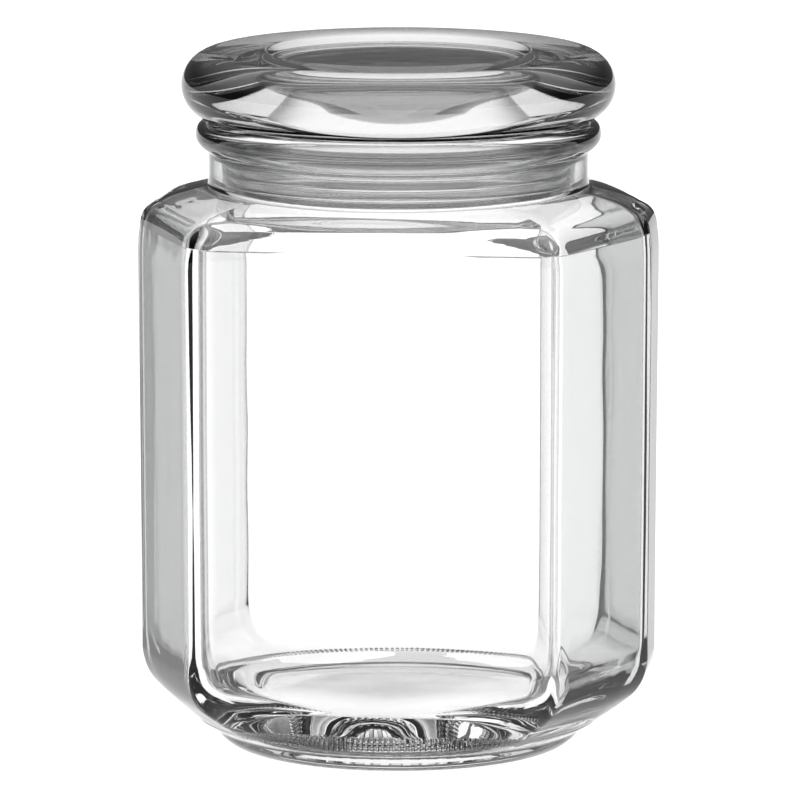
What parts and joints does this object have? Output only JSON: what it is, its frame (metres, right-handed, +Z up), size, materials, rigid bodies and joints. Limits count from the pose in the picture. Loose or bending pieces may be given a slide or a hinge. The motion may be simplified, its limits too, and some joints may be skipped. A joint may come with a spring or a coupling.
{
  "type": "apothecary jar",
  "caption": "Clear glass storage jar with an octagonal body, round neck and foot, and a thick disc lid whose hollow stopper wears a ribbed clear seal ring.",
  "frame": {"origin": "middle of the foot's bearing ring, on the surface the jar stands on", "axes": "+Z up along the neck's axis, X across the wide front panel, -Y out of the front panel"},
  "size_m": [0.1468, 0.1236, 0.2002],
  "materials": {
    "jar_glass": "clear pressed soda-lime glass, fire polished",
    "lid_glass": "clear pressed soda-lime glass, fire polished",
    "seal_clear_pvc": "clear soft polymer, slightly hazy"
  },
  "bodies": {
    "jar": {"jar_body": "jar_glass"},
    "seal": {"seal_ring": "seal_clear_pvc"},
    "lid": {"lid": "lid_glass"}
  },
  "joints": [
    {"name": "lid_lift", "type": "slide", "parent": "jar", "child": "seal", "axis": [0, 0, 1], "range_m": [0, 0.09]},
    {"name": "lid_turn", "type": "hinge", "parent": "seal", "child": "lid", "pos_m": [0, 0, 0.19], "axis": [0, 0, 1], "continuous": true}
  ]
}
